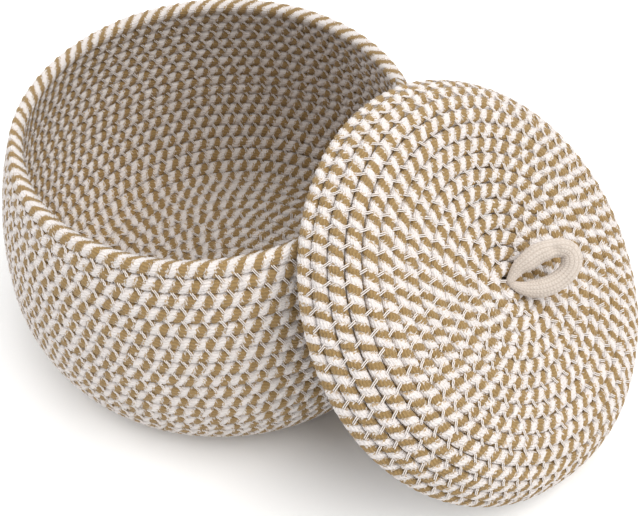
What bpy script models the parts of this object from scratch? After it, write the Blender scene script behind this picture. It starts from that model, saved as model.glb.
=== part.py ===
"""Round knitting basket of coiled cotton rope, with its domed lid leaning on the rim.

The basket stands on the floor, and the middle of its underside is the origin. The lid
leans from +X: its lower edge is at the floor, and its hollow side hangs over the rim.
A cord loop in the middle of the lid is the handle, which flops from side to side.
"""
import math

import bmesh
import bpy
import numpy as np
from mathutils import Matrix, Vector
from mathutils.bvhtree import BVHTree

MM = 0.001
DEGREE = math.pi / 180.0
FULL_TURN = 2.0 * math.pi

# The rope, as it lies in the two coils, where each turn is sewn to the one before
ROPE_THICKNESS = 8.6 * MM
BASKET_ROPE_WIDTH = 8.3 * MM
LID_ROPE_WIDTH = 7.6 * MM
SEAM_GAP = 0.7 * MM
BASKET_POINTS_PER_TURN = 16
LID_POINTS_PER_TURN = 15

# The rope's section, across the turns and through the wall. Its flat sides face in
# and out, so the underside of the floor is flat
SECTION_SHARES = (
    (0.50, 0.00),
    (0.25, 0.50),
    (-0.25, 0.50),
    (-0.50, 0.00),
    (-0.25, -0.50),
    (0.25, -0.50),
)

# The basket, measured to the rope's middle line
FLOOR_RADIUS = 100.4 * MM
BELLY_RADIUS = 129.1 * MM
BELLY_HEIGHT = 58.6 * MM
RIM_RADIUS = 110.0 * MM
RIM_HEIGHT = 154.5 * MM
SWELL_POWER = 1.81
RIM_END_ANGLE = 50.0 * DEGREE

# The lid, measured to the rope's middle line: a flat crown, whose outer part turns
# down into a shallow cap
LID_SPREAD = 132.4 * MM
EDGE_TURN = 72.5 * DEGREE
EDGE_BEND = 53.0 * MM
LID_END_ANGLE = 69.0 * DEGREE

# The lid is a little out of round: how much wider it is, as shares of its radius, at the
# ends of one diameter and at three places around it
OVAL_SHARE = 0.0115
OVAL_ANGLE = 41.8 * DEGREE
LOBE_SHARE = 0.0099
LOBE_ANGLE = 22.2 * DEGREE

# Where the lid's middle stands as it leans on the basket, and how near pieces come
LEAN_REACH = 183.4 * MM
LEAN_ASIDE = 10.0 * MM
LEAN_GAP = 0.5 * MM
TOUCH_GAP = 0.3 * MM

# The handle: a cord loop whose two legs come out of the lid's middle
CORD_RADIUS = 5.5 * MM
ROOT_RADIUS = 2.9 * MM
ROOT_TAPER = 12.0 * MM
LOOP_LENGTH = 42.0 * MM
LOOP_HALF_WIDTH = 9.6 * MM
LOOP_AZIMUTH = 76.0 * DEGREE
LOOP_LEAN = 53.0 * DEGREE
CORD_SIDES = 10
LEG_POINTS = 6
BEND_POINTS = 9
DOME_SHARES = ((0.97, 0.24), (0.87, 0.50), (0.50, 0.87))

# The knot that holds the cord, pulled flat against the underside of the lid
KNOT_RADIUS = 10.5 * MM
KNOT_SEAT_RADIUS = 9.6 * MM
KNOT_TAIL_RADIUS = 4.0 * MM
KNOT_HEIGHT = 9.0 * MM
KNOT_SIDES = 16
KNOT_STEPS = 5

OUTLINE_STEPS = 240
BISECTIONS = 16
SAMPLES_PER_SEGMENT = 4

BASKET_PITCH = BASKET_ROPE_WIDTH + SEAM_GAP
LID_PITCH = LID_ROPE_WIDTH + SEAM_GAP
END_RUN = ROPE_THICKNESS
PLUG_RADIUS = 2.0 * ROOT_RADIUS
PIVOT_HEIGHT = ROPE_THICKNESS / 2.0 + TOUCH_GAP + ROOT_RADIUS


def clear_scene():
    for thing in list(bpy.data.objects):
        bpy.data.objects.remove(thing, do_unlink=True)


def material(name, colour, roughness):
    made = bpy.data.materials.new(name)
    made.use_nodes = True
    shader = made.node_tree.nodes["Principled BSDF"]
    shader.inputs["Base Color"].default_value = (*colour, 1.0)
    shader.inputs["Roughness"].default_value = roughness
    shader.inputs["Metallic"].default_value = 0.0
    return made


def rope_material():
    return material("two_tone_cotton_rope", (0.60, 0.49, 0.35), 0.92)


def cord_material():
    return material("natural_cotton_cord", (0.82, 0.72, 0.58), 0.90)


def skin(name, rings, finish):
    """One closed body over a row of equal rings of points, with a face on each end."""
    bm = bmesh.new()
    rows = [[bm.verts.new(point) for point in ring] for ring in rings]
    for row, following in zip(rows, rows[1:]):
        for i, corner in enumerate(row):
            j = (i + 1) % len(row)
            bm.faces.new((corner, row[j], following[j], following[i]))
    bm.faces.new(rows[0])
    bm.faces.new(rows[-1])
    bmesh.ops.recalc_face_normals(bm, faces=bm.faces[:])
    mesh = bpy.data.meshes.new(name)
    bm.to_mesh(mesh)
    bm.free()
    mesh.shade_smooth()
    mesh.set_sharp_from_angle(angle=math.pi / 3.0)
    mesh.materials.append(finish)
    made = bpy.data.objects.new(name, mesh)
    bpy.context.scene.collection.objects.link(made)
    return made


def basket_outline():
    """Radius and height of the rope's middle line, from the floor's eye up to the rim."""
    ground = ROPE_THICKNESS / 2.0
    eye = END_RUN / 2.0 + BASKET_ROPE_WIDTH / 2.0 + 2.0 * SEAM_GAP
    quarter = np.linspace(0.0, math.pi / 2.0, OUTLINE_STEPS)
    spread = np.sin(quarter) ** (2.0 / SWELL_POWER)
    rise = 1.0 - np.cos(quarter) ** (2.0 / SWELL_POWER)
    upper = np.linspace(0.0, 1.0, OUTLINE_STEPS)[1:]
    radius = np.concatenate((
        [eye],
        FLOOR_RADIUS + (BELLY_RADIUS - FLOOR_RADIUS) * spread,
        BELLY_RADIUS - (BELLY_RADIUS - RIM_RADIUS) * upper ** 2,
    ))
    height = np.concatenate((
        [ground],
        ground + (BELLY_HEIGHT - ground) * rise,
        BELLY_HEIGHT + (RIM_HEIGHT - BELLY_HEIGHT) * upper,
    ))
    return radius, height


def lid_outline():
    """Radius and height of the rope's middle line, from the lid's eye out to its edge."""
    along = np.linspace(0.0, LID_SPREAD, OUTLINE_STEPS)
    share = np.clip((along - LID_SPREAD + EDGE_BEND) / EDGE_BEND, 0.0, 1.0)
    slope = EDGE_TURN * share * share * (3.0 - 2.0 * share)
    middle = (slope[1:] + slope[:-1]) / 2.0
    step = along[1]
    radius = np.concatenate(([0.0], np.cumsum(np.cos(middle) * step)))
    height = -np.concatenate(([0.0], np.cumsum(np.sin(middle) * step)))
    room = PLUG_RADIUS + TOUCH_GAP + LID_ROPE_WIDTH / 2.0
    eye = math.hypot(room, END_RUN / 2.0)
    first = np.interp(eye, radius, height)
    outside = radius > eye
    return np.concatenate(([eye], radius[outside])), np.concatenate(([first], height[outside]))


def spiral(outline, pitch, points_per_turn, end_angle, outward):
    """Points of the rope's middle line and the outward directions of the wall there.

    The points lie at even angles, so that the sides of each turn face the next ones, and
    a little outside the true circle, so that the straight sides lie on it on average.
    """
    radius, height = outline
    lengths = np.concatenate(([0.0], np.cumsum(np.hypot(np.diff(radius), np.diff(height)))))
    count = int(lengths[-1] / pitch * points_per_turn)
    back = np.arange(count, -1, -1) / points_per_turn
    along = lengths[-1] - back * pitch
    angle = end_angle - back * FULL_TURN
    across = np.gradient(radius, lengths)
    climb = np.gradient(height, lengths)
    r = np.interp(along, lengths, radius) * 2.0 / (1.0 + math.cos(math.pi / points_per_turn))
    z = np.interp(along, lengths, height)
    run = np.interp(along, lengths, across)
    lift = np.interp(along, lengths, climb)
    points = np.stack((r * np.cos(angle), r * np.sin(angle), z), axis=1)
    normals = np.stack((lift * np.cos(angle), lift * np.sin(angle), -run), axis=1) * outward
    return points, normals, along


def rope_rings(points, normals, width):
    """The rope's section at each point, square to the rope, with its flats along the wall."""
    points = [Vector(point) for point in points]
    rings = []
    for i, point in enumerate(points):
        before = points[max(i - 1, 0)]
        after = points[min(i + 1, len(points) - 1)]
        tangent = (after - before).normalized()
        normal = Vector(normals[i])
        normal = (normal - tangent * normal.dot(tangent)).normalized()
        side = tangent.cross(normal)
        rings.append([
            point + side * (across * width) + normal * (through * ROPE_THICKNESS)
            for across, through in SECTION_SHARES
        ])
    return rings


def least_gap(rings, points_per_turn):
    """Least distance between the rope's corners and those of the next turns."""
    corners = np.array([[tuple(corner) for corner in ring] for ring in rings])
    shares = np.arange(SAMPLES_PER_SEGMENT) / SAMPLES_PER_SEGMENT
    steps = corners[1:] - corners[:-1]
    dense = (corners[:-1, None] + shares[None, :, None, None] * steps[:, None]).reshape(-1, 6, 3)
    turn = points_per_turn * SAMPLES_PER_SEGMENT
    least = math.inf
    for shift in range(turn // 2, turn * 3 // 2):
        apart = dense[shift:, :, None] - dense[:-shift, None, :]
        if len(apart):
            least = min(least, float(np.sqrt((apart ** 2).sum(axis=-1)).min()))
    return least


def report_gap(name, rings, points_per_turn):
    print(name, "least gap to itself, mm:", round(least_gap(rings, points_per_turn) / MM, 3))


def basket_coils(finish):
    """The floor's coil and the wall's: one rope, parted on a straight where the wall starts."""
    points, normals, along = spiral(
        basket_outline(), BASKET_PITCH, BASKET_POINTS_PER_TURN, RIM_END_ANGLE, 1.0)
    eye = float(np.hypot(*points[0][:2]))
    ground = points[0][2]
    parting = int(np.argmax(along > FLOOR_RADIUS - eye))

    # The wall's first turn keeps its corners off the floor
    outward = np.hypot(normals[:, 0], normals[:, 1])
    reach = ROPE_THICKNESS / 2.0 * np.abs(normals[:, 2]) + BASKET_ROPE_WIDTH / 4.0 * outward
    points[parting:, 2] = np.maximum(points[parting:, 2], reach[parting:] + TOUCH_GAP)

    # The rope starts with a straight run across the middle of the floor
    first_angle = math.atan2(points[0][1], points[0][0]) - math.pi / 3.0
    start = np.array((math.cos(first_angle), math.sin(first_angle), 0.0)) * END_RUN / 2.0
    level = np.array((0.0, 0.0, ground))
    middle = (points[parting - 1] + points[parting]) / 2.0
    direction = points[parting] - points[parting - 1]
    half_gap = direction / np.linalg.norm(direction) * TOUCH_GAP / 2.0
    middle_normal = normals[parting - 1] + normals[parting]

    floor_points = [level - start, level + start, *points[:parting], middle - half_gap]
    floor_normals = [normals[0]] * len(floor_points)
    wall_points = [middle + half_gap, *points[parting:]]
    wall_normals = [middle_normal, *normals[parting:]]
    floor_rings = rope_rings(floor_points, floor_normals, BASKET_ROPE_WIDTH)
    wall_rings = rope_rings(wall_points, wall_normals, BASKET_ROPE_WIDTH)
    report_gap("basket_floor_coil", floor_rings, BASKET_POINTS_PER_TURN)
    report_gap("basket_wall_coil", wall_rings, BASKET_POINTS_PER_TURN)
    floor = skin("basket_floor_coil", floor_rings, finish)
    wall = skin("basket_wall_coil", wall_rings, finish)
    return floor, wall


def lid_coil(finish):
    """The lid's rope, in its own frame: the crown's middle line is at its origin."""
    points, normals, along = spiral(
        lid_outline(), LID_PITCH, LID_POINTS_PER_TURN, LID_END_ANGLE, -1.0)
    apart = np.linalg.norm(points - points[0], axis=1)
    second = int(np.argmax(apart >= END_RUN))
    points = np.concatenate((points[:1], points[second:]))
    normals = np.concatenate((normals[:1], normals[second:]))

    # Handmade and soft, it is out of round towards its edge
    radius = np.hypot(points[:, 0], points[:, 1])
    angle = np.arctan2(points[:, 1], points[:, 0])
    swell = (OVAL_SHARE * np.cos(2.0 * (angle - OVAL_ANGLE))
             + LOBE_SHARE * np.cos(3.0 * (angle - LOBE_ANGLE)))
    points[:, :2] *= (1.0 + swell * radius / radius.max())[:, None]
    rings = rope_rings(points, normals, LID_ROPE_WIDTH)
    report_gap("lid_coil", rings, LID_POINTS_PER_TURN)
    return skin("lid_coil", rings, finish)


def tree_of(thing, placing):
    corners = [placing @ corner.co for corner in thing.data.vertices]
    return BVHTree.FromPolygons(corners, [tuple(face.vertices) for face in thing.data.polygons])


def standing(lid, tilt):
    """Where the lid is when it stands on its edge, tilted from level by an angle."""
    tilted = Matrix.Rotation(tilt, 4, "Y")
    lowest = min((tilted @ corner.co).z for corner in lid.data.vertices)
    return Matrix.Translation((LEAN_REACH, LEAN_ASIDE, TOUCH_GAP - lowest)) @ tilted


def lean_lid(lid, wall):
    """Stand the lid on its edge and lean it over until it nearly touches the basket."""
    wall_tree = tree_of(wall, Matrix.Identity(4))
    flat = 0.0
    upright = math.pi / 2.0
    for _ in range(BISECTIONS):
        tilt = (flat + upright) / 2.0
        if tree_of(lid, standing(lid, tilt)).overlap(wall_tree):
            flat = tilt
        else:
            upright = tilt
    lid.matrix_world = standing(lid, upright + LEAN_GAP / LID_SPREAD)
    print("lid's middle, mm:", [round(value / MM, 2) for value in lid.location])
    print("lid's tilt, degrees:", round(lid.rotation_euler.y / DEGREE, 2))


def ring_of(radius, height, sides):
    return [
        Vector((radius * math.cos(FULL_TURN * k / sides), radius * math.sin(FULL_TURN * k / sides), height))
        for k in range(sides)
    ]


def handle_knot(lid, finish):
    """The cord's two ends, squeezed through the lid's eye, and their knot under the lid."""
    top = ROPE_THICKNESS / 2.0
    seat = -top - TOUCH_GAP
    rings = [ring_of(PLUG_RADIUS, top, KNOT_SIDES), ring_of(PLUG_RADIUS, seat, KNOT_SIDES)]
    start = math.asin(KNOT_SEAT_RADIUS / KNOT_RADIUS)
    end = math.pi - math.asin(KNOT_TAIL_RADIUS / KNOT_RADIUS)
    for step in range(KNOT_STEPS + 1):
        turn = start + (end - start) * step / KNOT_STEPS
        share = (math.cos(start) - math.cos(turn)) / (math.cos(start) - math.cos(end))
        rings.append(ring_of(KNOT_RADIUS * math.sin(turn), seat - KNOT_HEIGHT * share, KNOT_SIDES))
    knot = skin("handle_knot", rings, finish)
    knot.parent = lid
    return knot


def handle_path():
    """Middle line of the loop, across and along, and the cord's radius at each point."""
    bend = LOOP_HALF_WIDTH
    straight = LOOP_LENGTH - CORD_RADIUS - bend
    path = []
    for k in range(LEG_POINTS):
        share = k / LEG_POINTS
        across = ROOT_RADIUS + (bend - ROOT_RADIUS) * math.sin(share * math.pi / 2.0)
        along = straight * share
        path.append((across + TOUCH_GAP / 2.0 * (1.0 - share), along))
    for k in range(BEND_POINTS):
        turn = math.pi / 2.0 * k / (BEND_POINTS - 1)
        path.append((bend * math.cos(turn), straight + bend * math.sin(turn)))
    path += [(-across, along) for across, along in reversed(path[:-1])]
    radii = [ROOT_RADIUS + (CORD_RADIUS - ROOT_RADIUS) * min(along / ROOT_TAPER, 1.0) for _, along in path]
    return path, radii


def handle_loop(lid, finish):
    """The loop stands along its own Z axis, in its YZ plane, and turns about Y."""
    path, radii = handle_path()
    points = [Vector((0.0, across, along)) for across, along in path]
    rings = []
    for i, point in enumerate(points):
        tangent = (points[min(i + 1, len(points) - 1)] - points[max(i - 1, 0)]).normalized()
        side = tangent.cross(Vector((1.0, 0.0, 0.0)))
        rings.append([
            point + Vector((math.cos(FULL_TURN * k / CORD_SIDES) * radii[i], 0.0, 0.0))
            + side * math.sin(FULL_TURN * k / CORD_SIDES) * radii[i]
            for k in range(CORD_SIDES)
        ])
    first, last = points[0], points[-1]
    start_dome = [
        [first + (corner - first) * wide - Vector((0.0, 0.0, ROOT_RADIUS * deep)) for corner in rings[0]]
        for deep, wide in DOME_SHARES
    ]
    end_dome = [
        [last + (corner - last) * wide - Vector((0.0, 0.0, ROOT_RADIUS * deep)) for corner in rings[-1]]
        for deep, wide in reversed(DOME_SHARES)
    ]
    loop = skin("handle_loop", start_dome + rings + end_dome, finish)
    loop.parent = lid
    loop.location = (0.0, 0.0, PIVOT_HEIGHT)
    loop.rotation_euler = (0.0, LOOP_LEAN, LOOP_AZIMUTH)
    return loop


def build():
    clear_scene()
    rope = rope_material()
    cord = cord_material()
    floor, wall = basket_coils(rope)
    lid = lid_coil(rope)
    lean_lid(lid, wall)
    handle_knot(lid, cord)
    handle_loop(lid, cord)


build()
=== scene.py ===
"""Looks of a round knitting basket of coiled two-tone rope, with its lid leaning on the rim.

The basket stands on the floor, and the middle of its underside is the origin. The ropes
lie on the same spirals as the solids, twisted from four strands and sewn turn to turn.
"""

import math

import bpy
import numpy as np
from mathutils import Matrix, Vector


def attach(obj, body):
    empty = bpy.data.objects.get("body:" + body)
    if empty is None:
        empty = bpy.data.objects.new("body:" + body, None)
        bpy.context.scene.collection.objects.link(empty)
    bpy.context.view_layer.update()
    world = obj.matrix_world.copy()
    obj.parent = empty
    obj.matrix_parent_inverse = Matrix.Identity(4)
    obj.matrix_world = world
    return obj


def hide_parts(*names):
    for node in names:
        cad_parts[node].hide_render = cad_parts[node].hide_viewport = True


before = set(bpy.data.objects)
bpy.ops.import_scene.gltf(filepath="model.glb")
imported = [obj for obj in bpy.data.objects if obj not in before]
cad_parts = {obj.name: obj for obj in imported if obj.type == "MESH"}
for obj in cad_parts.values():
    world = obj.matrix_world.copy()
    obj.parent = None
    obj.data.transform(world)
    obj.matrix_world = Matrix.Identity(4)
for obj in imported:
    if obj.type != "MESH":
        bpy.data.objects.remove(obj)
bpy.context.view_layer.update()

METRE = 1.0
MM = 0.001
DEGREE = math.pi / 180.0
FULL_TURN = 2.0 * math.pi
HALF_TURN = math.pi
QUARTER_TURN = math.pi / 2.0

# The rope, as it lies in the two coils
ROPE_THICKNESS = 8.6 * MM
ROPE_GIRTH = math.pi * ROPE_THICKNESS
BASKET_PITCH = 9.0 * MM
LID_PITCH = 8.3 * MM
BASKET_EYE = 2.2 * MM
LID_EYE = 1.0 * MM

# The rope's section: a square with round corners and four strands, white and tan in turn.
# A white strand and the tan one beside it take half the girth. The grooves between the
# strands are pressed flat where turn lies against turn
LAY = 19.2 * MM
STRANDS = 4
STRAND_STEPS = 5
STEPS_PER_LAY = 12
WHITE_SHARE = 0.52
GROOVE_SHARE = 0.16
GROOVE_POWER = 3
PRESSED_SHARE = 0.85
SECTION_POWER = 3.7

# In radians around the rope: how much more steeply the strands cross its faces than its
# seams, how much wider the tan ones are there, and how ragged a strand's edges and face are
STEEPNESS = 0.31
FACE_WIDENING = 0.08
EDGE_JITTER = 0.20
FACE_JITTER = 0.05

# How uneven the strands' surface is, and slow changes along the rope, with the lengths over
# which they come and go. The drift and the wander of the twist are in radians
BULGE_SHARE = 0.012
TWIST_DRIFT = 0.6
DRIFT_RUN = 14.0 * LAY
TWIST_WANDER = 0.25
WANDER_RUN = 3.0 * LAY
WIDTH_SHARE = 0.02
WIDTH_RUN = 1.7 * LAY
THICKNESS_SHARE = 0.03
THICKNESS_RUN = 1.3 * LAY
LIFT_SHARE = 0.02
LIFT_RUN = 2.1 * LAY

# The rope thins out over these lengths at its start and its end, down to this share of its
# section's area
BASKET_START_TAPER = 12.0 * MM
LID_START_TAPER = 6.0 * MM
END_TAPER = 26.0 * MM
END_SHARE = 0.01

# The basket, measured to the rope's middle line, and where its wall's rope is parted in two
FLOOR_RADIUS = 100.4 * MM
BELLY_RADIUS = 129.1 * MM
BELLY_HEIGHT = 58.6 * MM
RIM_RADIUS = 110.0 * MM
RIM_HEIGHT = 154.5 * MM
SWELL_POWER = 1.81
RIM_END_ANGLE = 50.0 * DEGREE
WALL_MIDDLE_SHARE = 0.5

# The lid, measured to the rope's middle line, and how far it is out of round
LID_SPREAD = 132.4 * MM
EDGE_TURN = 72.5 * DEGREE
EDGE_BEND = 53.0 * MM
LID_END_ANGLE = 69.0 * DEGREE
OVAL_SHARE = 0.0115
OVAL_ANGLE = 41.8 * DEGREE
LOBE_SHARE = 0.0099
LOBE_ANGLE = 22.2 * DEGREE
LID_MIDDLE = (183.41 * MM, 10.04 * MM, 109.8 * MM)
LID_TILT = 46.48 * DEGREE

# The lid's rope starts tucked under, and the eye that the handle comes out of is off the middle
EYE_DROP = 5.0 * MM
EYE_RUN = 9.0 * MM
EYE_SHIFT = (1.2 * MM, -3.2 * MM)
EYE_FADE = 45.0 * MM
EYE_SPOT = (-0.2 * MM, -2.7 * MM)

# The handle: a knitted cord loop whose legs come out of the lid's eye
PIVOT_HEIGHT = 7.5 * MM
LOOP_AZIMUTH = 76.0 * DEGREE
LOOP_LEAN = 53.0 * DEGREE
CORD_RADIUS = 5.4 * MM
LOOP_REACH = 33.0 * MM
CORD_FLATNESS_SHARE = 0.12

# The loop's middle line, as shares of its reach out from the lid, along the hinge and up,
# and the cord's radius there as a share of its own
LOOP_SHARES = (
    (0.060, 0.000, -0.145, 0.34), (0.035, 0.026, -0.115, 0.42), (0.025, 0.139, 0.096, 0.72),
    (0.015, 0.173, 0.276, 1.00), (0.015, 0.199, 0.438, 1.05), (0.015, 0.195, 0.572, 1.02),
    (0.015, 0.160, 0.744, 0.95), (0.015, 0.080, 0.892, 0.96), (0.015, -0.021, 0.953, 1.02),
    (0.015, -0.127, 0.942, 1.07), (0.015, -0.220, 0.890, 1.05), (0.015, -0.292, 0.798, 1.00),
    (0.015, -0.342, 0.652, 0.98), (0.015, -0.358, 0.472, 1.01), (0.015, -0.325, 0.277, 1.00),
    (0.020, -0.251, 0.108, 0.84), (0.025, -0.168, -0.012, 0.62), (0.035, -0.070, -0.100, 0.42),
    (0.060, -0.024, -0.145, 0.34),
)

# The crease in the loop's upper side, where the cord folds over
CREASE_SHARE = 0.36
CREASE_RUN = 3.0 * MM
CREASE_DEPTH = 2.6 * MM

# The knit: columns of V shaped stitches, which sink at the column's sides and dip along its
# middle. Where the relief is at its middle share, the cord has its own radius
KNIT_WALES = 12
WALE_STEPS = 5
KNIT_SIDES = KNIT_WALES * WALE_STEPS
KNIT_COURSE = 1.75 * MM
COURSE_STEPS = 5
KNIT_RELIEF = 0.80 * MM
KNIT_MIDDLE_SHARE = 0.7
SLANT_SHARE = 0.75
SIDE_SHARE = 0.75
SIDE_POWER = 4
DIP_SHARE = 0.35
DIP_POWER = 6

# The knot under the lid, a trefoil, and the neck that comes up from it
KNOT_RADIUS = 6.6 * MM
KNOT_CORD_RADIUS = 3.3 * MM
KNOT_DEPTH = 4.3 * MM
KNOT_MIDDLE = -ROPE_THICKNESS / 2.0 - KNOT_DEPTH
KNOT_WINDINGS = 2.0
KNOT_LOBES = 3.0
KNOT_RING_SHARE = 0.62
KNOT_LOBE_SHARE = 0.32
KNOT_RISE_SHARE = 0.35
KNOT_STEPS = 160
NECK_RADIUS = 2.4 * MM
NECK_TOP = 3.0 * MM
NECK_STEPS = 24

# The sewing thread, which crosses a seam in pairs, where each tan strand comes up to it
THREAD_RADIUS = 0.33 * MM
THREAD_SIDES = 5
STITCH_REACH = 2.5 * MM
STITCH_RUN = 2.9 * MM
STITCH_SIZE_SHARES = (0.75, 1.15)
STITCH_SLIDE_SHARE = 0.6
PAIR_GAP = 1.1 * MM
STITCH_ANGLE = 38.0 * DEGREE

# The coils' two faces, and which way they look along the normals
FACES = {"outer": 1.0, "inner": -1.0}

# A thread, as shares of the stitch run along the seam, of the stitch reach across it and of
# the rope's thickness out from its middle
STITCH_SHARES = (
    (-0.50, -1.00, 0.400), (-0.40, -0.80, 0.482), (-0.20, -0.40, 0.470), (0.00, 0.00, 0.430),
    (0.20, 0.40, 0.470), (0.40, 0.80, 0.482), (0.50, 1.00, 0.400),
)

# Cotton, and its colours: in the light, in the shade and, for a strand, its neighbour's
COTTON_ROUGHNESS = 0.92
COTTON_SPECULAR = 0.18
COTTON_SHEEN = 0.12
YARN_SHEEN_ROUGHNESS = 0.6
CORD_SHEEN_ROUGHNESS = 0.5
WHITE_COLOURS = ((0.88, 0.83, 0.815), (0.70, 0.64, 0.60), (0.45, 0.30, 0.14))
TAN_COLOURS = ((0.43, 0.285, 0.122), (0.21, 0.13, 0.05), (0.80, 0.74, 0.70))
THREAD_COLOURS = ((0.86, 0.81, 0.79), (0.68, 0.62, 0.57))
CORD_COLOURS = ((0.72, 0.645, 0.58), (0.45, 0.375, 0.315))

# A strand's yarns, each a little over a millimetre wide, its fibres, in grains a millimetre around the
# rope and along it, and how much these and slow clouds darken it: painted shade in the valleys between
# the yarns, and the cotton's own uneven tone from fibres and clouds
YARN_WAVES = 0.27
YARN_DISTORTION = 2.6
YARN_ALONG_SHARE = 0.12
FIBRES_AROUND = 3.2
FIBRES_ALONG = 0.55
CLOUDS = 90.0 / METRE
YARN_SHADE_SHARE = 0.35
FIBRE_SHADE_SHARE = 0.25
CLOUD_SHADE_SHARE = 0.3
FIBRE_HEIGHT_SHARE = 1.1
YARN_BUMP = 0.36 * MM
YARN_BUMP_STRENGTH = 0.8

# Fibres of one strand that stray over its neighbour: noise above the limit shows them, the
# limit rises with each millimetre in from the edge, and they lie across the strand
FLECK_LIMIT = 0.450
FLECK_FADE = 0.075
FLECK_CLOSENESS = 0.75
FLECK_STRETCH_SHARE = 0.30
FLECK_SHARPNESS = 12.0
FLECK_MOST_SHARE = 0.9
FLECK_ROUGHNESS = 0.7

# Thread and cord: grains a metre, how much coarser the broad ones are, the bump that they make, and
# how much painted shade lies down in the knit's grooves
THREAD_GRAINS = 1800.0 / METRE
THREAD_BUMP = 0.05 * MM
CORD_GRAINS = 1500.0 / METRE
CORD_BUMP = 0.15 * MM
BROAD_SHARE = 0.12
GRAIN_BUMP_STRENGTH = 0.6
GRAIN_ROUGHNESS = 0.65
CORD_GROOVE_SHADE_SHARE = 0.65
NO_GROOVE_SHADE_SHARE = 0.0
NOISE_ROUGHNESS = 0.5
COARSE_DETAIL = 2.0
DETAIL = 3.0
FINE_DETAIL = 4.0

# Which sockets of a Mix node hold colours
MIX_INPUTS = (6, 7)
MIX_OUTPUT = 2

# The camera that the photograph was taken with, fitted to its outlines. Blender takes the
# lens and the sensor in millimetres
CAMERA_SPOT = (351.47 * MM, -416.54 * MM, 636.12 * MM)
CAMERA_HEADING = 34.21 * DEGREE
CAMERA_DROP = 48.116 * DEGREE
CAMERA_ROLL = -3.328 * DEGREE
CAMERA_LENS = 71.641
SENSOR_WIDTH = 36.0
CLIP_START = 10.0 * MM
CLIP_END = 50.0 * METRE

# The lamps: strength, spread, azimuth from +X, elevation and colour
LAMPS = {
    "key": (2.7, 60.0 * DEGREE, 4.0 * DEGREE, 55.0 * DEGREE, (1.0, 0.99, 0.97)),
    "back": (0.7, 60.0 * DEGREE, 120.0 * DEGREE, 40.0 * DEGREE, (1.0, 1.0, 1.0)),
    "side": (1.15, 50.0 * DEGREE, 208.0 * DEGREE, 45.0 * DEGREE, (0.98, 0.99, 1.0)),
}
AMBIENT_STRENGTH = 0.37
FLOOR_SIZE = 12.0 * METRE
FLOOR_TONE = (0.93, 0.93, 0.93)
SEEN_FLOOR_TONE = (0.98, 0.98, 0.98)

# How finely the shapes are worked out, and where a piece's colours lie on its square map
OUTLINE_STEPS = 2400
PATH_STEPS_PER_TURN = 128
CURVE_STEPS = 16
SHARP_ANGLE = 56.25 * DEGREE
LANE_LENGTH_SHARE = 0.98
LANE_WIDTH_SHARE = 0.96
LANE_MARGIN_SHARE = 0.02
CAP_RADIUS_SHARE = 0.004
CAP_SPOT_SHARES = ((0.992, 0.02), (0.992, 0.04))
SEED = 7


def link_object(name, data):
    made = bpy.data.objects.new(name, data)
    bpy.context.scene.collection.objects.link(made)
    return made


def add_camera():
    sight = bpy.data.cameras.new("camera")
    sight.sensor_width = SENSOR_WIDTH
    sight.sensor_fit = "HORIZONTAL"
    sight.lens = CAMERA_LENS
    sight.clip_start = CLIP_START
    sight.clip_end = CLIP_END
    camera = link_object("camera", sight)
    camera.matrix_world = (
        Matrix.Translation(CAMERA_SPOT)
        @ Matrix.Rotation(CAMERA_HEADING, 4, "Z")
        @ Matrix.Rotation(QUARTER_TURN - CAMERA_DROP, 4, "X")
        @ Matrix.Rotation(CAMERA_ROLL, 4, "Z")
    )
    bpy.context.scene.camera = camera


def basket_outline():
    """Radius and height of the rope's middle line, from the floor's eye up to the rim."""
    ground = ROPE_THICKNESS / 2.0
    quarter = np.linspace(0.0, QUARTER_TURN, OUTLINE_STEPS)
    spread = np.sin(quarter) ** (2.0 / SWELL_POWER)
    rise = 1.0 - np.cos(quarter) ** (2.0 / SWELL_POWER)
    upper = np.linspace(0.0, 1.0, OUTLINE_STEPS)[1:]
    level = np.linspace(0.0, FLOOR_RADIUS, OUTLINE_STEPS)[:-1]
    radius = np.concatenate((
        level,
        FLOOR_RADIUS + (BELLY_RADIUS - FLOOR_RADIUS) * spread,
        BELLY_RADIUS - (BELLY_RADIUS - RIM_RADIUS) * upper ** 2,
    ))
    height = np.concatenate((
        np.full(len(level), ground),
        ground + (BELLY_HEIGHT - ground) * rise,
        BELLY_HEIGHT + (RIM_HEIGHT - BELLY_HEIGHT) * upper,
    ))
    return radius, height


def eased(share):
    """A share from 0 to 1 that starts and ends gently."""
    return share * share * (3.0 - 2.0 * share)


def lid_outline():
    """Radius and height of the rope's middle line, from the lid's middle out to its edge."""
    along = np.linspace(0.0, LID_SPREAD, OUTLINE_STEPS)
    slope = EDGE_TURN * eased(np.clip((along - LID_SPREAD + EDGE_BEND) / EDGE_BEND, 0.0, 1.0))
    middle = (slope[1:] + slope[:-1]) / 2.0
    step = along[1]
    radius = np.concatenate(([0.0], np.cumsum(np.cos(middle) * step)))
    height = -np.concatenate(([0.0], np.cumsum(np.sin(middle) * step)))
    return radius, height


def lid_swell(points, reach):
    """The lid's points moved out and in, because the lid isn't quite round."""
    angle = np.arctan2(points[:, 1], points[:, 0])
    swell = (OVAL_SHARE * np.cos(2.0 * (angle - OVAL_ANGLE))
             + LOBE_SHARE * np.cos(3.0 * (angle - LOBE_ANGLE)))
    radius = np.hypot(points[:, 0], points[:, 1])
    points = points.copy()
    points[:, :2] *= (1.0 + swell * radius / reach)[:, None]
    return points


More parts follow.
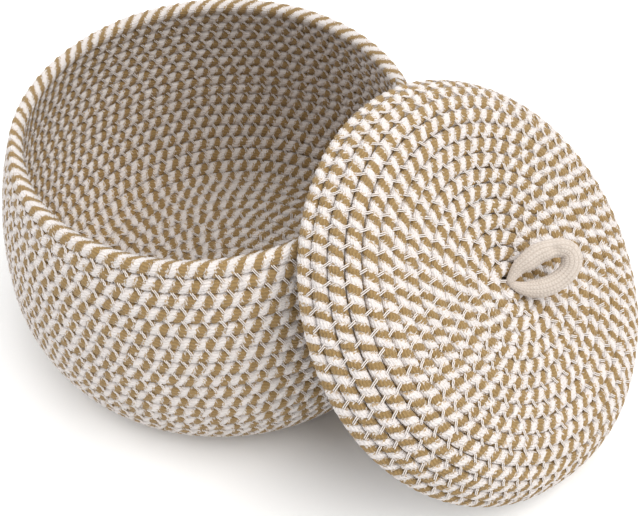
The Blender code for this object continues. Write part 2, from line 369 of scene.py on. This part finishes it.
def coil_points(outline, eye, pitch, end_angle, outward, offset):
    """Middle line of a coil, or of a seam where it is offset by half a turn, and its normals."""
    radius, height = outline
    lengths = np.concatenate(([0.0], np.cumsum(np.hypot(np.diff(radius), np.diff(height)))))
    turns = (lengths[-1] - eye) / pitch
    back = np.linspace(turns, 0.0, int(turns * PATH_STEPS_PER_TURN))
    along = lengths[-1] - back * pitch
    angle = end_angle - back * FULL_TURN
    kept = along + 2.0 * offset <= lengths[-1]
    along = along[kept] + offset
    angle = angle[kept]
    r = np.interp(along, lengths, radius)
    z = np.interp(along, lengths, height)
    run = np.interp(along, lengths, np.gradient(radius, lengths))
    lift = np.interp(along, lengths, np.gradient(height, lengths))
    points = np.stack((r * np.cos(angle), r * np.sin(angle), z), axis=1)
    normals = np.stack((lift * np.cos(angle), lift * np.sin(angle), -run), axis=1) * outward
    return points, normals


def basket_coil():
    """The rope's line and the seam's beside it, their normals, and the next turn's side."""
    shape = (basket_outline(), BASKET_EYE, BASKET_PITCH, RIM_END_ANGLE, 1.0)
    points, normals = coil_points(*shape, 0.0)
    seam, seam_normals = coil_points(*shape, BASKET_PITCH / 2.0)
    return points, normals, seam, seam_normals, -1.0


def lid_coil():
    """The same for the lid, with its inner turns moved over and its start tucked under."""
    outline = lid_outline()
    reach = outline[0].max()
    shape = (outline, LID_EYE, LID_PITCH, LID_END_ANGLE, -1.0)
    points, normals = coil_points(*shape, 0.0)
    seam, seam_normals = coil_points(*shape, LID_PITCH / 2.0)
    for line in (points, seam):
        nearness = np.exp(-(line[:, 0] ** 2 + line[:, 1] ** 2) / EYE_FADE ** 2)
        line[:, :2] += np.array(EYE_SHIFT) * nearness[:, None]
    inward = np.clip(1.0 - lengths_of(points) / EYE_RUN, 0.0, 1.0)
    points[:, 2] -= EYE_DROP * inward ** 2
    return lid_swell(points, reach), normals, lid_swell(seam, reach), seam_normals, 1.0


def lengths_of(points):
    """The length of a line from its start to each of its points."""
    return np.concatenate(([0.0], np.cumsum(np.linalg.norm(np.diff(points, axis=0), axis=1))))


def taken(line, lengths, at):
    """A line's values at other lengths than those of its points."""
    return np.stack([np.interp(at, lengths, line[:, i]) for i in range(line.shape[1])], axis=1)


def unit(vectors):
    return vectors / np.linalg.norm(vectors, axis=-1)[..., None]


def directions(line, normals, lengths, at):
    """Points of a line at these lengths, with their tangents, normals and sides."""
    tangents = unit(taken(np.gradient(line, lengths, axis=0), lengths, at))
    normals = taken(normals, lengths, at)
    normals = unit(normals - tangents * (normals * tangents).sum(axis=1)[:, None])
    return taken(line, lengths, at), tangents, normals, np.cross(tangents, normals)


def slow_noise(rng, at, run):
    """A smooth random value along a length, from -1 to 1, that changes over each run."""
    knots = rng.uniform(-1.0, 1.0, int(at[-1] / run) + 3)
    place = at / run
    low = place.astype(int)
    share = eased(place - low)
    return knots[low] * (1.0 - share) + knots[low + 1] * share


def strand_profile():
    """Around the twisted section: angles, groove depths, how each corner leans, and strands."""
    angles = []
    grooves = []
    leans = []
    strands = []
    start = 0.0
    for strand in range(STRANDS):
        is_white = strand % 2 == 0
        wide = HALF_TURN * (WHITE_SHARE if is_white else 1.0 - WHITE_SHARE)
        for k in range(STRAND_STEPS):
            across = 2.0 * k / STRAND_STEPS - 1.0
            angles.append(start + wide * k / STRAND_STEPS)
            grooves.append(GROOVE_SHARE * abs(across) ** GROOVE_POWER)
            leans.append(-across if is_white else across)
            strands.append(strand)
        start += wide
    return np.array(angles), np.array(grooves), np.array(leans), strands


def strand_turns(angles, leans, twist, rng):
    """How far around the rope each corner lies.

    On its faces the strands cross steeply and the tan ones are wide. At the seams they lie
    over, and the tan ones are narrow.
    """
    turn = angles[None, :] + twist[:, None]
    turn -= FACE_WIDENING * leans[None, :] * np.cos(2.0 * turn)
    jitter = np.where(np.arange(len(angles)) % STRAND_STEPS == 0, EDGE_JITTER, FACE_JITTER)
    turn += jitter * rng.uniform(-1.0, 1.0, turn.shape)
    return turn - STEEPNESS * np.sin(2.0 * turn)


def strand_reach(turn, grooves, ends, rng):
    """How far out each corner lies, as a share of half the rope's width or thickness."""
    square = np.abs(np.cos(turn)) ** SECTION_POWER + np.abs(np.sin(turn)) ** SECTION_POWER
    pressed = 1.0 - grooves[None, :] * (1.0 - PRESSED_SHARE * np.cos(turn) ** 2)
    bulge = 1.0 + BULGE_SHARE * rng.uniform(-1.0, 1.0, turn.shape)
    return pressed * ends[:, None] / square ** (1.0 / SECTION_POWER) * bulge


def rope_rings(coil, width, start_taper, rng):
    """Corners of the twisted rope's rings, with their lengths, angles and twists."""
    line, line_normals, _, _, to_next = coil
    lengths = lengths_of(line)
    at = np.linspace(0.0, lengths[-1], int(lengths[-1] / LAY * STEPS_PER_LAY))
    points, _, normals, sides = directions(line, line_normals, lengths, at)
    angles, grooves, leans, _ = strand_profile()
    twist = FULL_TURN * at / LAY + TWIST_DRIFT * slow_noise(rng, at, DRIFT_RUN)
    twist += TWIST_WANDER * slow_noise(rng, at, WANDER_RUN)
    wide = width / 2.0 * (1.0 + WIDTH_SHARE * slow_noise(rng, at, WIDTH_RUN))
    thick = ROPE_THICKNESS / 2.0 * (1.0 + THICKNESS_SHARE * slow_noise(rng, at, THICKNESS_RUN))
    lift = LIFT_SHARE * ROPE_THICKNESS * slow_noise(rng, at, LIFT_RUN)
    starting = np.sqrt(np.clip(at / start_taper, END_SHARE, 1.0))
    ending = np.sqrt(np.clip((at[-1] - at) / END_TAPER, END_SHARE, 1.0))
    turn = strand_turns(angles, leans, twist, rng)
    reach = strand_reach(turn, grooves, np.minimum(starting, ending), rng)

    # The thinning end keeps against the turn that it is sewn to
    points = points - sides * (to_next * wide * (1.0 - ending))[:, None]
    corners = (
        points[:, None, :]
        + sides[:, None, :] * (np.cos(turn) * reach * wide[:, None])[:, :, None]
        + normals[:, None, :] * (np.sin(turn) * reach * thick[:, None] + lift[:, None])[:, :, None]
    )
    return corners, at, angles, twist


def tube_faces(count, rows, sides):
    """Faces of closed tubes of rows of corners: all the walls, and then each tube's two ends."""
    piece, segment, side = np.meshgrid(
        np.arange(count), np.arange(rows - 1), np.arange(sides), indexing="ij")
    near = (piece * rows + segment) * sides
    far = near + sides
    following = (side + 1) % sides
    walls = np.stack((near + side, far + side, far + following, near + following), axis=-1)
    faces = walls.reshape(-1, 4).tolist()
    for k in range(count):
        start = k * rows * sides
        end = start + (rows - 1) * sides
        faces.append(list(range(start, start + sides)))
        faces.append(list(range(end, end + sides))[::-1])
    return faces


def strip_places(first, last, low, high):
    """Map places of the four corners of each face, between two lengths and two widths."""
    return np.stack((
        np.stack((first, low), axis=-1),
        np.stack((last, low), axis=-1),
        np.stack((last, high), axis=-1),
        np.stack((first, high), axis=-1),
    ), axis=2).reshape(-1, 2)


def add_map(mesh, name, *places):
    """Gives a mesh a map, from the places of all its faces' corners in turn."""
    layer = mesh.uv_layers.new(name=name)
    layer.data.foreach_set("uv", np.concatenate(places).astype(np.float32).ravel())


def map_tube(mesh, along, around):
    """Two maps of a tube: one in lengths and turns for fibres, and one cut to fill a square."""
    rows = len(along)
    sides = len(around)
    segment, side = np.meshgrid(np.arange(rows - 1), np.arange(sides), indexing="ij")
    turn = np.concatenate((around / FULL_TURN, [1.0]))
    walls = strip_places(along[segment], along[segment + 1], turn[side], turn[side + 1])
    add_map(mesh, "Fibres", walls, np.zeros((2 * sides, 2)))

    # The tube's strip cut into lanes that lie side by side
    lanes = max(int(round(math.sqrt((along[-1] - along[0]) / ROPE_GIRTH))), 1)
    per_lane = int(math.ceil((rows - 1) / lanes))
    lane = segment // per_lane
    first = (segment % per_lane) / per_lane * LANE_LENGTH_SHARE
    last = first + LANE_LENGTH_SHARE / per_lane
    low = (lane + LANE_MARGIN_SHARE + LANE_WIDTH_SHARE * turn[side]) / lanes
    high = (lane + LANE_MARGIN_SHARE + LANE_WIDTH_SHARE * turn[side + 1]) / lanes
    circle = np.stack((np.cos(around), np.sin(around)), axis=1) * CAP_RADIUS_SHARE
    near_cap = circle + CAP_SPOT_SHARES[0]
    far_cap = circle[::-1] + CAP_SPOT_SHARES[1]
    add_map(mesh, "OFBake", strip_places(first, last, low, high), near_cap, far_cap)


def closed_tube(name, corners, along, around, materials, strands):
    """One closed body over rows of corners, with a material for each strand."""
    rows, sides = corners.shape[:2]
    mesh = bpy.data.meshes.new(name)
    mesh.from_pydata(corners.reshape(-1, 3).tolist(), [], tube_faces(1, rows, sides))
    for made in materials:
        mesh.materials.append(made)
    which = np.concatenate((np.tile(np.array(strands) % len(materials), rows - 1), [0, 0]))
    mesh.polygons.foreach_set("material_index", which.astype(np.int32))
    map_tube(mesh, along, around)
    mesh.validate()
    mesh.shade_smooth()
    mesh.set_sharp_from_angle(angle=SHARP_ANGLE)
    return link_object(name, mesh)


def rope_piece(name, rings, first, last, materials):
    """One piece of the rope, from ring first to the ring before last."""
    corners, at, angles, _ = rings
    strands = strand_profile()[3]
    return closed_tube(name, corners[first:last], at[first:last], angles, materials, strands)


def thread_piece(name, lines, normals, finish):
    """One mesh of closed threads along lines of points, an array of threads by points by 3."""
    tangents = unit(np.gradient(lines, axis=1))
    across = unit(np.cross(tangents, normals))
    up = np.cross(across, tangents)
    turn = FULL_TURN * np.arange(THREAD_SIDES) / THREAD_SIDES
    corners = (
        lines[:, :, None, :]
        + across[:, :, None, :] * (np.cos(turn) * THREAD_RADIUS)[None, None, :, None]
        + up[:, :, None, :] * (np.sin(turn) * THREAD_RADIUS)[None, None, :, None]
    )
    count, rows = lines.shape[:2]
    mesh = bpy.data.meshes.new(name)
    mesh.from_pydata(corners.reshape(-1, 3).tolist(), [], tube_faces(count, rows, THREAD_SIDES))
    mesh.materials.append(finish)
    mesh.shade_smooth()
    return link_object(name, mesh)


def stitch_spots(lengths, rings, to_next, face):
    """Lengths at which the middle of a tan strand comes up to the seam on one face."""
    _, at, _, twist = rings
    tan_middle = QUARTER_TURN * (1.0 + WHITE_SHARE)
    seam_angle = 0.0 if to_next > 0.0 else HALF_TURN
    wanted = seam_angle + to_next * face * STITCH_ANGLE - tan_middle
    first = math.ceil((twist[0] - wanted) / HALF_TURN)
    last = math.floor((twist[-1] - wanted) / HALF_TURN)
    spots = np.interp(wanted + HALF_TURN * np.arange(first, last + 1), twist, at)
    return spots[(spots > lengths[0]) & (spots < lengths[-1])]


def stitch_lines(coil, rings, face, rng):
    """Pairs of threads across a coil's seam on one face, and the way out from it along them."""
    rope, _, seam, seam_normals, to_next = coil

    # The seam's points lie beside the rope's, and are counted by the rope's lengths
    lengths = lengths_of(rope)[:len(seam)]
    spots = stitch_spots(lengths, rings, to_next, face)
    points, tangents, normals, sides = directions(seam, seam_normals, lengths, spots)
    along_share, across_share, out_share = np.array(STITCH_SHARES).T
    size = rng.uniform(*STITCH_SIZE_SHARES, len(points))[:, None]
    slide = rng.uniform(-STITCH_SLIDE_SHARE, STITCH_SLIDE_SHARE, len(points))[:, None] * PAIR_GAP
    lines = []
    for offset in (-PAIR_GAP / 2.0, PAIR_GAP / 2.0):
        along = along_share * STITCH_RUN * size + slide + offset
        across = across_share * STITCH_REACH * size * face
        lines.append(
            points[:, None, :]
            + tangents[:, None, :] * along[..., None]
            + sides[:, None, :] * across[..., None]
            + normals[:, None, :] * (out_share * ROPE_THICKNESS * face)[None, :, None]
        )
    lines = np.concatenate(lines)
    up = np.repeat(np.concatenate((normals, normals))[:, None, :], lines.shape[1], axis=1) * face
    return lines, up


def set_input(tree, socket, value):
    if isinstance(value, bpy.types.NodeSocket):
        tree.links.new(value, socket)
    else:
        socket.default_value = value


def linked(tree, kind, **inputs):
    """A shader node with its inputs set, from values or from other nodes' outputs.

    An input goes by its name, with _ for a space, or by its place, as in at_1.
    """
    node = tree.nodes.new(kind)
    for name, value in inputs.items():
        place = name.removeprefix("at_")
        key = name.replace("_", " ") if place == name else int(place)
        set_input(tree, node.inputs[key], value)
    return node


def math_node(tree, operation, first, second):
    node = linked(tree, "ShaderNodeMath", at_0=first, at_1=second)
    node.operation = operation
    return node.outputs[0]


def times(tree, first, second):
    return math_node(tree, "MULTIPLY", first, second)


def plus(tree, first, second):
    return math_node(tree, "ADD", first, second)


def minus(tree, first, second):
    return math_node(tree, "SUBTRACT", first, second)


def noise(tree, place, closeness, detail, roughness):
    node = linked(
        tree, "ShaderNodeTexNoise", Vector=place, Scale=closeness, Detail=detail, Roughness=roughness)
    return node.outputs["Fac"]


def flat_place(tree, x, y):
    return linked(tree, "ShaderNodeCombineXYZ", X=x, Y=y).outputs[0]


def object_place(tree):
    return tree.nodes.new("ShaderNodeTexCoord").outputs["Object"]


def mix_colours(tree, share, first, second):
    """The first colour, and as much of the second as the share says."""
    node = tree.nodes.new("ShaderNodeMix")
    node.data_type = "RGBA"
    tree.links.new(share, node.inputs[0])
    for place, value in zip(MIX_INPUTS, (first, second)):
        set_input(tree, node.inputs[place], (*value, 1.0) if isinstance(value, tuple) else value)
    return node.outputs[MIX_OUTPUT]


def new_material(name):
    made = bpy.data.materials.new(name)
    made.use_nodes = True
    return made, made.node_tree, made.node_tree.nodes["Principled BSDF"]


def finish_cotton(tree, shader, colour, height, distance, strength, sheen_roughness):
    """Gives a shader its colour and bump, and cotton's dull surface."""
    tree.links.new(colour, shader.inputs["Base Color"])
    bump = linked(tree, "ShaderNodeBump", Strength=strength, Distance=distance, Height=height)
    tree.links.new(bump.outputs[0], shader.inputs["Normal"])
    shader.inputs["Roughness"].default_value = COTTON_ROUGHNESS
    shader.inputs["Specular IOR Level"].default_value = COTTON_SPECULAR
    shader.inputs["Sheen Weight"].default_value = COTTON_SHEEN
    shader.inputs["Sheen Roughness"].default_value = sheen_roughness


def strayed_fibres(tree, turn, around, down, is_white):
    """How much of the next strand's colour shows: hooks over the edges, fewer further in."""
    across = math_node(tree, "FRACT", times(tree, turn, STRANDS / 2.0), 0.0)
    low, high = (0.0, WHITE_SHARE) if is_white else (WHITE_SHARE, 1.0)
    inside = math_node(tree, "MINIMUM", minus(tree, across, low), minus(tree, high, across))
    inside = times(tree, inside, ROPE_GIRTH / 2.0 / MM)
    steep = math.hypot(ROPE_GIRTH, LAY)
    on_strand = plus(
        tree, times(tree, around, ROPE_GIRTH / steep), times(tree, down, LAY / steep))
    off_strand = times(tree, turn, ROPE_GIRTH * LAY / steep / MM)
    place = flat_place(
        tree, times(tree, on_strand, FLECK_CLOSENESS),
        times(tree, off_strand, FLECK_CLOSENESS * FLECK_STRETCH_SHARE))
    flecks = noise(tree, place, 1.0, DETAIL, FLECK_ROUGHNESS)
    limit = plus(tree, times(tree, inside, FLECK_FADE), FLECK_LIMIT)
    strayed = times(tree, minus(tree, flecks, limit), FLECK_SHARPNESS)
    strayed = math_node(tree, "MAXIMUM", strayed, 0.0)
    return math_node(tree, "MINIMUM", strayed, FLECK_MOST_SHARE)


def yarn(name, colours, is_white):
    """Cotton strand: yarns that run along the rope with painted shade between them, fine fibres, and
    ragged edges.
    """
    light, shade, other = colours
    made, tree, shader = new_material(name)
    place = tree.nodes.new("ShaderNodeUVMap")
    place.uv_map = "Fibres"
    parts = linked(tree, "ShaderNodeSeparateXYZ", Vector=place.outputs[0])
    length = parts.outputs[0]
    turn = parts.outputs[1]

    # Millimetres around the rope and along it
    around = times(tree, plus(tree, turn, times(tree, length, 1.0 / LAY)), ROPE_GIRTH / MM)
    down = times(tree, length, 1.0 / MM)

    ridges = linked(
        tree, "ShaderNodeTexWave", Scale=YARN_WAVES, Distortion=YARN_DISTORTION, Detail=COARSE_DETAIL,
        Vector=flat_place(tree, around, times(tree, down, YARN_ALONG_SHARE)))
    ridges.wave_profile = "SIN"
    ridge = ridges.outputs["Fac"]
    fibre_place = flat_place(
        tree, times(tree, around, FIBRES_AROUND), times(tree, down, FIBRES_ALONG))
    fibre = noise(tree, fibre_place, 1.0, DETAIL, NOISE_ROUGHNESS)
    cloud = noise(tree, object_place(tree), CLOUDS, DETAIL, NOISE_ROUGHNESS)

    # Painted shade in the valleys between the yarns, added to the slow clouds and fine fibres that are
    # the cotton's own uneven tone
    valley_shade = times(tree, minus(tree, 1.0, ridge), YARN_SHADE_SHARE)
    uneven = plus(tree, valley_shade, times(tree, cloud, CLOUD_SHADE_SHARE))
    shading = plus(tree, uneven, times(tree, fibre, FIBRE_SHADE_SHARE))
    base = mix_colours(tree, shading, light, shade)
    strayed = strayed_fibres(tree, turn, around, down, is_white)
    colour = mix_colours(tree, strayed, base, other)
    height = plus(tree, ridge, times(tree, fibre, FIBRE_HEIGHT_SHARE))
    finish_cotton(
        tree, shader, colour, height, YARN_BUMP, YARN_BUMP_STRENGTH, YARN_SHEEN_ROUGHNESS)
    return made


def plain_cotton(name, colours, grains, bump_distance, groove_shade_share):
    """Cotton thread or cord whose shape is in the mesh: grains, and painted shade down in its grooves.
    """
    light, shade = colours
    made, tree, shader = new_material(name)
    where = object_place(tree)
    fine = noise(tree, where, grains, FINE_DETAIL, GRAIN_ROUGHNESS)
    broad = noise(tree, where, grains * BROAD_SHARE, COARSE_DETAIL, NOISE_ROUGHNESS)
    grooves = tree.nodes.new("ShaderNodeAttribute")
    grooves.attribute_name = "Grooves"
    grain_shade = times(tree, plus(tree, fine, broad), (1.0 - groove_shade_share) / 2.0)
    # Painted shade: darker where the corner lies down in a knit groove
    blend = plus(tree, grain_shade, times(tree, grooves.outputs["Fac"], groove_shade_share))
    colour = mix_colours(tree, blend, light, shade)
    finish_cotton(
        tree, shader, colour, fine, bump_distance, GRAIN_BUMP_STRENGTH, CORD_SHEEN_ROUGHNESS)
    return made


def add_basket_rope(rings, yarns):
    """The basket's rope in three pieces: its floor, and the lower and upper part of its wall."""
    middle = rings[0].mean(axis=1)
    radius = np.hypot(middle[:, 0], middle[:, 1])
    parting = int(np.argmax(radius > FLOOR_RADIUS))
    halfway = parting + int((len(middle) - parting) * WALL_MIDDLE_SHARE)
    floor = rope_piece("floor_rope", rings, 0, parting + 1, yarns)
    lower = rope_piece("wall_rope_lower", rings, parting, halfway + 1, yarns)
    upper = rope_piece("wall_rope_upper", rings, halfway, len(middle), yarns)
    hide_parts("basket_floor_coil")
    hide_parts("basket_wall_coil")
    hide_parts("basket_wall_coil")
    return [floor, lower, upper]


def add_basket_stitches(coil, rings, thread, rng):
    """The basket's sewing thread on both faces, parted into its floor's and its wall's."""
    pieces = []
    for side, face in FACES.items():
        lines, up = stitch_lines(coil, rings, face, rng)
        lines[..., 2] = np.maximum(lines[..., 2], THREAD_RADIUS)
        reach = np.hypot(lines[..., 0], lines[..., 1]).mean(axis=1)
        on_floor = (reach < FLOOR_RADIUS) & (lines[..., 2].mean(axis=1) < ROPE_THICKNESS)
        for part, chosen in (("floor", on_floor), ("wall", ~on_floor)):
            name = part + "_stitches_" + side
            pieces.append(thread_piece(name, lines[chosen], up[chosen], thread))
    return pieces


def add_basket(yarns, thread, rng):
    """The basket, whose rope and thread stay on the floor that it stands on."""
    coil = basket_coil()
    rings = rope_rings(coil, BASKET_PITCH, BASKET_START_TAPER, rng)
    rings[0][..., 2] = np.maximum(rings[0][..., 2], 0.0)
    return add_basket_rope(rings, yarns) + add_basket_stitches(coil, rings, thread, rng)


def add_lid(placing, yarns, thread, rng):
    """The lid, made flat on its own middle and then put against the rim."""
    coil = lid_coil()
    rings = rope_rings(coil, LID_PITCH, LID_START_TAPER, rng)
    rope = rope_piece("lid_rope", rings, 0, len(rings[0]), yarns)
    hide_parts("lid_coil")
    pieces = [rope]
    for side, face in FACES.items():
        lines, up = stitch_lines(coil, rings, face, rng)
        pieces.append(thread_piece("lid_stitches_" + side, lines, up, thread))
    for piece in pieces:
        piece.data.transform(placing)
    return pieces


def smooth_line(controls, count):
    """Evenly spaced points on a Catmull-Rom curve through the control points."""
    before = 2.0 * controls[:1] - controls[1:2]
    after = 2.0 * controls[-1:] - controls[-2:-1]
    padded = np.concatenate((before, controls, after))
    share = (np.arange(CURVE_STEPS) / CURVE_STEPS)[:, None]
    stretches = []
    for k in range(len(controls) - 1):
        a, b, c, d = padded[k:k + 4]
        bend = 2.0 * a - 5.0 * b + 4.0 * c - d
        twist = 3.0 * b - a - 3.0 * c + d
        stretches.append((2.0 * b + (c - a) * share + bend * share ** 2 + twist * share ** 3) / 2.0)
    dense = np.concatenate((*stretches, controls[-1:]))
    lengths = lengths_of(dense)
    at = np.linspace(0.0, lengths[-1], count)
    return taken(dense, lengths, at), at


def knit_height(at, turn):
    """Relief of the knitted cord: columns of V shaped stitches along it."""
    column = turn / FULL_TURN * KNIT_WALES
    across = 2.0 * (column - np.floor(column)) - 1.0
    row = at / KNIT_COURSE + SLANT_SHARE * np.abs(across)
    arm = 2.0 * (row - np.floor(row)) - 1.0
    lobe = np.sqrt(np.clip(1.0 - arm ** 2, 0.0, 1.0))
    dip = DIP_SHARE * (1.0 - np.abs(across)) ** DIP_POWER
    return lobe * (1.0 - SIDE_SHARE * across ** SIDE_POWER) - dip


def knit_turns():
    """How far around the knitted cord each of its corners lies."""
    return FULL_TURN * np.arange(KNIT_SIDES) / KNIT_SIDES


def knitted_tube(name, line, at, radii, side, finish):
    """A closed knitted cord along a line, with a radius for each row, or row and side."""
    tangents = unit(np.gradient(line, at, axis=0))
    across = unit(side - tangents * (side * tangents).sum(axis=1)[:, None])
    up = np.cross(tangents, across)
    around = knit_turns()
    relief = knit_height(at[:, None], around[None, :])
    radii = radii.reshape(len(line), -1)
    reach = radii + KNIT_RELIEF * (relief - KNIT_MIDDLE_SHARE) * (radii / radii.max())
    corners = (
        line[:, None, :]
        + across[:, None, :] * (np.cos(around) * reach)[:, :, None]
        + up[:, None, :] * (np.sin(around) * reach)[:, :, None]
    )
    made = closed_tube(name, corners, at, around, [finish], [0] * KNIT_SIDES)
    # How far each corner lies down in the knit's grooves, where the cord's material paints shade
    grooves = made.data.attributes.new("Grooves", "FLOAT", "POINT")
    grooves.data.foreach_set("value", np.clip(1.0 - relief, 0.0, 1.0).astype(np.float32).ravel())
    return made


def loop_radii(at, radii):
    """The cord's radii around each row: a little flat, and folded in at the crease."""
    around = knit_turns()
    off_crease = (at - CREASE_SHARE * at[-1]) / CREASE_RUN
    facing = np.clip(-np.cos(around), 0.0, 1.0) ** 2
    flattened = radii[:, None] * (1.0 - CORD_FLATNESS_SHARE * np.cos(around) ** 2)[None, :]
    return flattened - CREASE_DEPTH * np.exp(-off_crease ** 2)[:, None] * facing[None, :]


def add_handle(lid_placing, finish):
    """The loop, in the frame whose Z axis leans over and whose Y axis is its hinge."""
    placing = (
        lid_placing
        @ Matrix.Translation((0.0, 0.0, PIVOT_HEIGHT))
        @ Matrix.Rotation(LOOP_AZIMUTH, 4, "Z")
        @ Matrix.Rotation(LOOP_LEAN, 4, "Y")
    )
    controls = np.array(LOOP_SHARES)[:, :3] * LOOP_REACH
    radius_shares = np.array(LOOP_SHARES)[:, 3]
    knots = lengths_of(controls)
    line, at = smooth_line(controls, int(knots[-1] / KNIT_COURSE * COURSE_STEPS))
    knots *= at[-1] / knots[-1]
    radii = loop_radii(at, CORD_RADIUS * np.interp(at, knots, radius_shares))
    loop = knitted_tube("handle_cord", line, at, radii, np.array((1.0, 0.0, 0.0)), finish)
    loop.data.transform(placing)
    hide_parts("handle_loop")
    return loop


def add_knot(lid_placing, finish):
    """The knotted ends of the cord under the lid."""
    turn = np.linspace(0.0, FULL_TURN, KNOT_STEPS)
    ring = KNOT_RADIUS * (KNOT_RING_SHARE + KNOT_LOBE_SHARE * np.cos(KNOT_LOBES * turn))
    line = np.stack((
        ring * np.cos(KNOT_WINDINGS * turn),
        ring * np.sin(KNOT_WINDINGS * turn),
        KNOT_MIDDLE - KNOT_RISE_SHARE * KNOT_RADIUS * np.sin(KNOT_LOBES * turn),
    ), axis=1)
    radii = np.full(KNOT_STEPS, KNOT_CORD_RADIUS)
    knot = knitted_tube(
        "handle_knot_cord", line, lengths_of(line), radii, np.array((0.0, 0.0, 1.0)), finish)
    knot.data.transform(lid_placing)
    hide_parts("handle_knot")
    return knot


def add_neck(lid_placing, finish):
    """The neck of the cord, from its knot up through the lid's eye."""
    heights = np.linspace(KNOT_MIDDLE, NECK_TOP, NECK_STEPS)
    column = np.stack((*(np.full(NECK_STEPS, place) for place in EYE_SPOT), heights), axis=1)
    radii = np.full(NECK_STEPS, NECK_RADIUS)
    neck = knitted_tube(
        "handle_neck", column, heights - heights[0], radii, np.array((1.0, 0.0, 0.0)), finish)
    neck.data.transform(lid_placing)
    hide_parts("handle_knot")
    return neck


def ride_all(pieces, body):
    """Puts pieces on a body."""
    for piece in pieces:
        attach(piece, body)


def floor_material():
    """Matte white, which the camera sees a little brighter than it lights the basket."""
    made, tree, shader = new_material("pale_floor")
    path = tree.nodes.new("ShaderNodeLightPath")
    tone = mix_colours(tree, path.outputs["Is Camera Ray"], FLOOR_TONE, SEEN_FLOOR_TONE)
    tree.links.new(tone, shader.inputs["Base Color"])
    shader.inputs["Roughness"].default_value = 1.0
    shader.inputs["Specular IOR Level"].default_value = 0.0
    return made


def add_floor():
    half = FLOOR_SIZE / 2.0
    corners = [(-half, -half, 0.0), (half, -half, 0.0), (half, half, 0.0), (-half, half, 0.0)]
    mesh = bpy.data.meshes.new("floor")
    mesh.from_pydata(corners, [], [(0, 1, 2, 3)])
    mesh.materials.append(floor_material())
    link_object("floor", mesh)


def add_sun(name, strength, spread, azimuth, elevation, colour):
    """A soft sun that shines from an azimuth, counted from +X, and an elevation."""
    light = bpy.data.lights.new(name, "SUN")
    light.energy = strength
    light.angle = spread
    light.color = colour
    source = Vector((
        math.cos(azimuth) * math.cos(elevation),
        math.sin(azimuth) * math.cos(elevation),
        math.sin(elevation),
    ))
    link_object(name, light).rotation_euler = source.to_track_quat("Z", "Y").to_euler()


def add_world():
    """Soft white light from all round, behind which the camera sees plain white."""
    world = bpy.data.worlds.new("studio")
    world.use_nodes = True
    tree = world.node_tree
    soft = tree.nodes["Background"]
    soft.inputs["Color"].default_value = (1.0, 1.0, 1.0, 1.0)
    soft.inputs["Strength"].default_value = AMBIENT_STRENGTH
    white = linked(tree, "ShaderNodeBackground", Color=(1.0, 1.0, 1.0, 1.0), Strength=1.0)
    path = tree.nodes.new("ShaderNodeLightPath")
    seen = math_node(tree, "MAXIMUM", path.outputs["Is Camera Ray"], path.outputs["Is Glossy Ray"])
    seen = math_node(tree, "MAXIMUM", seen, path.outputs["Is Transmission Ray"])
    mix = linked(tree, "ShaderNodeMixShader", Fac=seen, at_1=soft.outputs[0], at_2=white.outputs[0])
    tree.links.new(mix.outputs[0], tree.nodes["World Output"].inputs["Surface"])
    bpy.context.scene.world = world


def add_light():
    add_world()
    for name, settings in LAMPS.items():
        add_sun(name, *settings)
    bpy.context.scene.view_settings.view_transform = "Standard"


def build():
    add_camera()
    rng = np.random.default_rng(SEED)
    yarns = [yarn("white_yarn", WHITE_COLOURS, True), yarn("tan_yarn", TAN_COLOURS, False)]
    thread = plain_cotton("sewing_thread", THREAD_COLOURS, THREAD_GRAINS, THREAD_BUMP, NO_GROOVE_SHADE_SHARE)
    cream = plain_cotton("cream_cord", CORD_COLOURS, CORD_GRAINS, CORD_BUMP, CORD_GROOVE_SHADE_SHARE)
    placing = Matrix.Translation(LID_MIDDLE) @ Matrix.Rotation(LID_TILT, 4, "Y")
    ride_all([add_handle(placing, cream)], "handle")
    ride_all(add_basket(yarns, thread, rng), "basket")
    ride_all(add_lid(placing, yarns, thread, rng), "lid")
    ride_all([add_knot(placing, cream), add_neck(placing, cream)], "lid")
    add_floor()
    add_light()


build()
